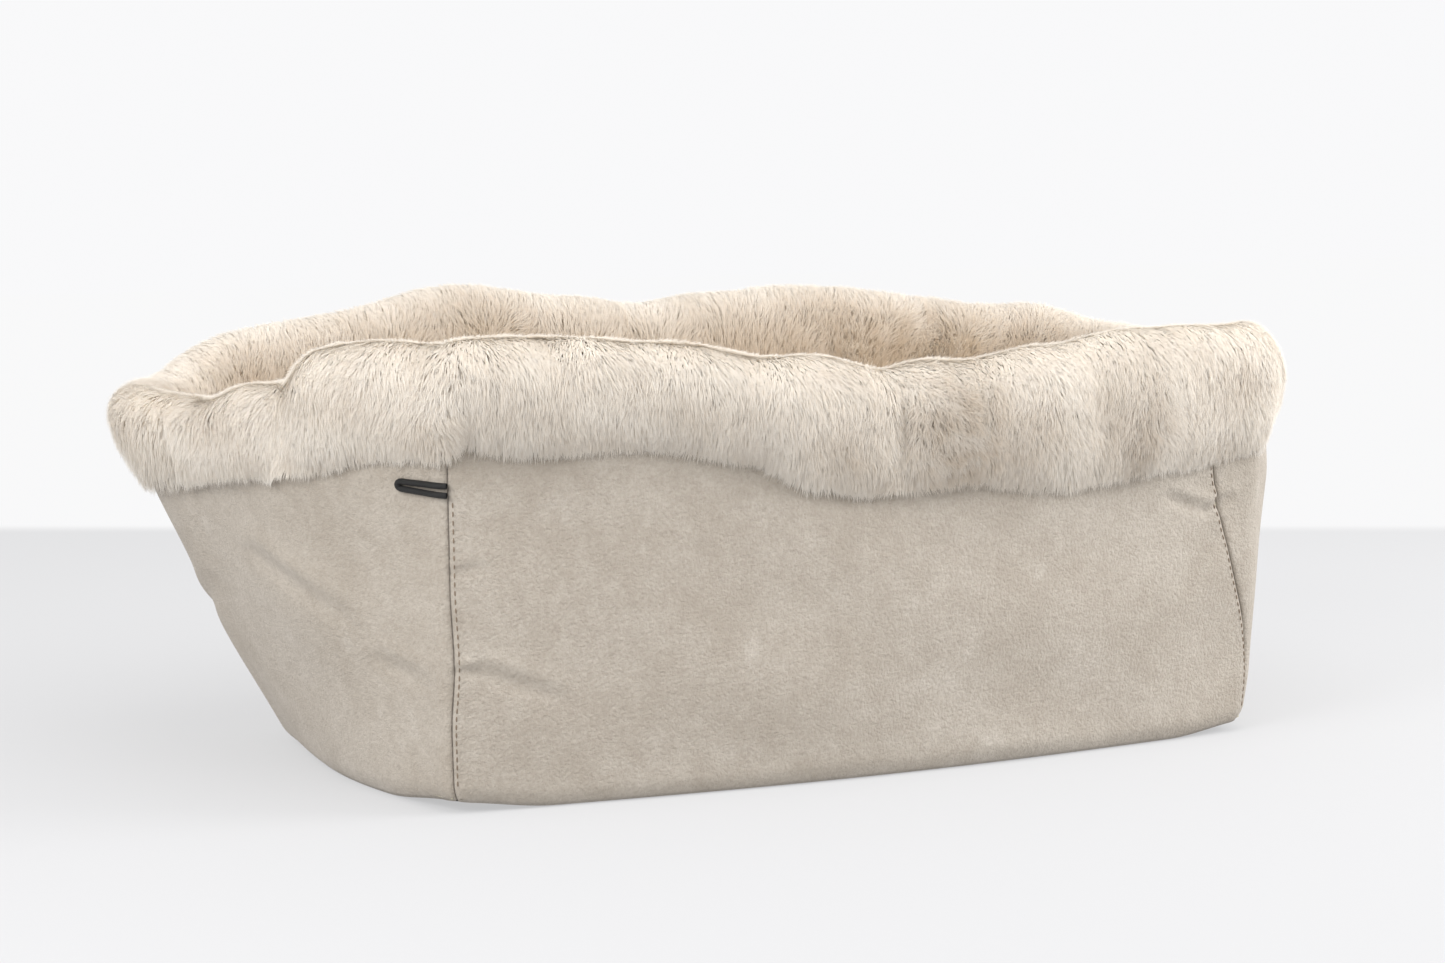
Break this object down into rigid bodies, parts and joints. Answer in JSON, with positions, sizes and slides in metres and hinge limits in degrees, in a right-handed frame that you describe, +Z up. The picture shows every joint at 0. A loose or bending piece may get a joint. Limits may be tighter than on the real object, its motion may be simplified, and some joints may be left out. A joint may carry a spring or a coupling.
{
  "type": "pet cushion bed",
  "caption": "Flared soft-sided pet bed with a flat front, rounded back, fur lining turned down over the rim as a cuff, corner elastic loops and a loose zipped cushion.",
  "frame": {"origin": "middle of the underside, at floor level, halfway between the front and back edges of the base panel", "axes": "+X to the bed's right along the flat front as its user faces away from it, +Y from the front to the back, +Z up"},
  "size_m": [0.6746, 0.3424, 0.2265],
  "materials": {
    "nubuck": "matt faux nubuck, softly marbled stone grey",
    "fur": "dense cream faux rabbit fur",
    "lining_cloth": "plain woven lining cloth",
    "foam": "open-cell foam and wadding",
    "board": "grey pressed fibre board",
    "elastic": "black braided round elastic",
    "zip_cloth": "woven zip tape and coil",
    "zip_metal": "die-cast, satin nickel"
  },
  "bodies": {
    "bed": {"shell_front_panel": "nubuck", "shell_left_wrap_panel": "nubuck", "shell_right_wrap_panel": "nubuck", "shell_base_panel": "nubuck", "wall_foam_front": "foam", "wall_foam_left": "foam", "wall_foam_right": "foam", "base_board": "board", "lining_floor": "lining_cloth", "fur_lining_left": "fur", "fur_lining_right": "fur"},
    "cushion": {"cushion_cover_bottom": "lining_cloth", "cushion_cover_boxing": "lining_cloth", "cushion_cover_top": "fur", "cushion_foam_pad": "foam", "cushion_back_strip_upper": "lining_cloth", "cushion_back_strip_lower": "lining_cloth", "zip_tape_upper": "zip_cloth", "zip_tape_lower": "zip_cloth", "zip_chain": "zip_cloth", "zip_stop_left": "zip_metal", "zip_stop_right": "zip_metal"},
    "slider": {"zip_slider": "zip_metal"},
    "puller": {"zip_puller": "zip_metal"},
    "loop_left": {"elastic_loop_left": "elastic"},
    "loop_right": {"elastic_loop_right": "elastic"}
  },
  "joints": [
    {"name": "cushion_lift", "type": "slide", "parent": "bed", "child": "cushion", "axis": [0, 0, 1], "range_m": [0, 0.25]},
    {"name": "zip_slide", "type": "slide", "parent": "cushion", "child": "slider", "axis": [1, 0, 0], "range_m": [0, 0.322]},
    {"name": "puller_swing", "type": "hinge", "parent": "slider", "child": "puller", "pos_m": [-0.1613, 0.0855, 0.0309], "axis": [0, 0, 1], "range_deg": [0, 180]},
    {"name": "loop_left_swing", "type": "hinge", "parent": "bed", "child": "loop_left", "pos_m": [-0.2295, -0.1232, 0.152], "axis": [0, 0, 1], "range_deg": [0, 100], "stiffness_Nm_per_rad": 0.0002},
    {"name": "loop_right_swing", "type": "hinge", "parent": "bed", "child": "loop_right", "pos_m": [0.2295, -0.1232, 0.152], "axis": [0, 0, -1], "range_deg": [0, 100], "stiffness_Nm_per_rad": 0.0002}
  ]
}
